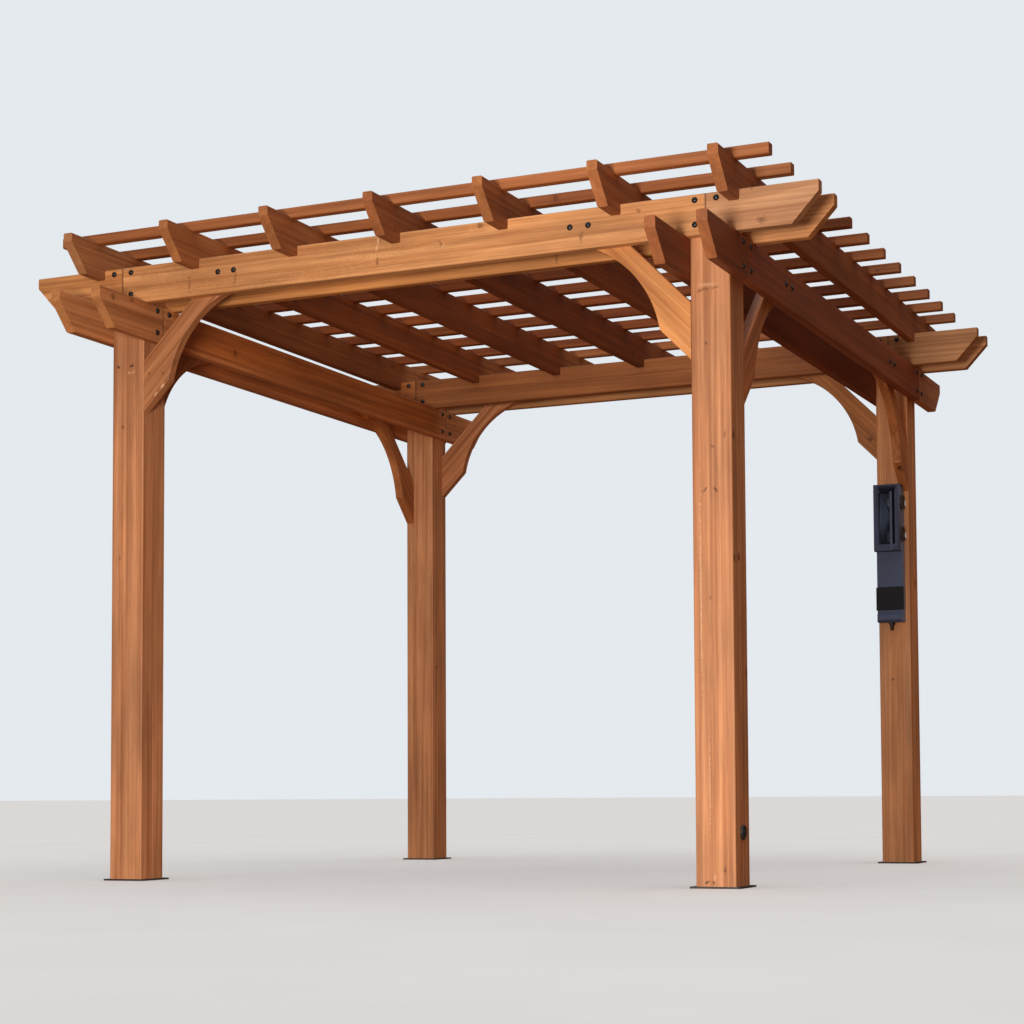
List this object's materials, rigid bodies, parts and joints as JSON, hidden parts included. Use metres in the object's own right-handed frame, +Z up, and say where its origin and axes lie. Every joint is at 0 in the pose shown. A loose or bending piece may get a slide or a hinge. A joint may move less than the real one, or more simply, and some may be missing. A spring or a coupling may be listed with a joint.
{
  "type": "wooden pergola",
  "caption": "Free-standing square timber pergola with doubled beams, notched rafters, roof slats, arched knee braces and a power box on one post.",
  "frame": {"origin": "on the ground, at the middle of the four posts", "axes": "+Z up, +X along the front to the right, +Y from the front to the back"},
  "size_m": [3.122, 3.122, 2.435],
  "materials": {
    "post_timber": "stained, satin",
    "beam_timber": "stained, satin",
    "rafter_timber": "stained, satin",
    "slat_timber": "stained, satin",
    "brace_timber": "stained, satin",
    "foot_plate": "black powder coat",
    "fastener": "black, low gloss",
    "power_box": "slate grey, matt",
    "power_box_lid": "near black",
    "gland": "black rubber",
    "post_cap": "dark grey"
  },
  "bodies": {
    "root": {"left_front_post": "post_timber", "left_front_foot_plate": "foot_plate", "left_front_cross_brace": "brace_timber", "left_front_side_brace": "brace_timber", "right_front_post": "post_timber", "right_front_foot_plate": "foot_plate", "right_front_cross_brace": "brace_timber", "right_front_side_brace": "brace_timber", "left_back_post": "post_timber", "left_back_foot_plate": "foot_plate", "left_back_cross_brace": "brace_timber", "left_back_side_brace": "brace_timber", "right_back_post": "post_timber", "right_back_foot_plate": "foot_plate", "right_back_cross_brace": "brace_timber", "right_back_side_brace": "brace_timber", "front_outer_cross_beam": "beam_timber", "front_inner_cross_beam": "beam_timber", "back_outer_cross_beam": "beam_timber", "back_inner_cross_beam": "beam_timber", "left_outer_side_beam": "beam_timber", "left_inner_side_beam": "beam_timber", "right_outer_side_beam": "beam_timber", "right_inner_side_beam": "beam_timber", "rafter_1": "rafter_timber", "rafter_2": "rafter_timber", "rafter_3": "rafter_timber", "rafter_4": "rafter_timber", "rafter_5": "rafter_timber", "rafter_6": "rafter_timber", "rafter_7": "rafter_timber", "roof_slat_01": "slat_timber", "roof_slat_02": "slat_timber", "roof_slat_03": "slat_timber", "roof_slat_04": "slat_timber", "roof_slat_05": "slat_timber", "roof_slat_06": "slat_timber", "roof_slat_07": "slat_timber", "roof_slat_08": "slat_timber", "roof_slat_09": "slat_timber", "roof_slat_10": "slat_timber", "roof_slat_11": "slat_timber", "roof_slat_12": "slat_timber", "power_box_body": "power_box", "power_box_hood": "power_box", "power_box_lid": "power_box_lid", "power_box_fin": "power_box", "power_box_side_sockets": "power_box", "power_box_gland": "gland", "post_cap": "post_cap"}
  },
  "joints": []
}
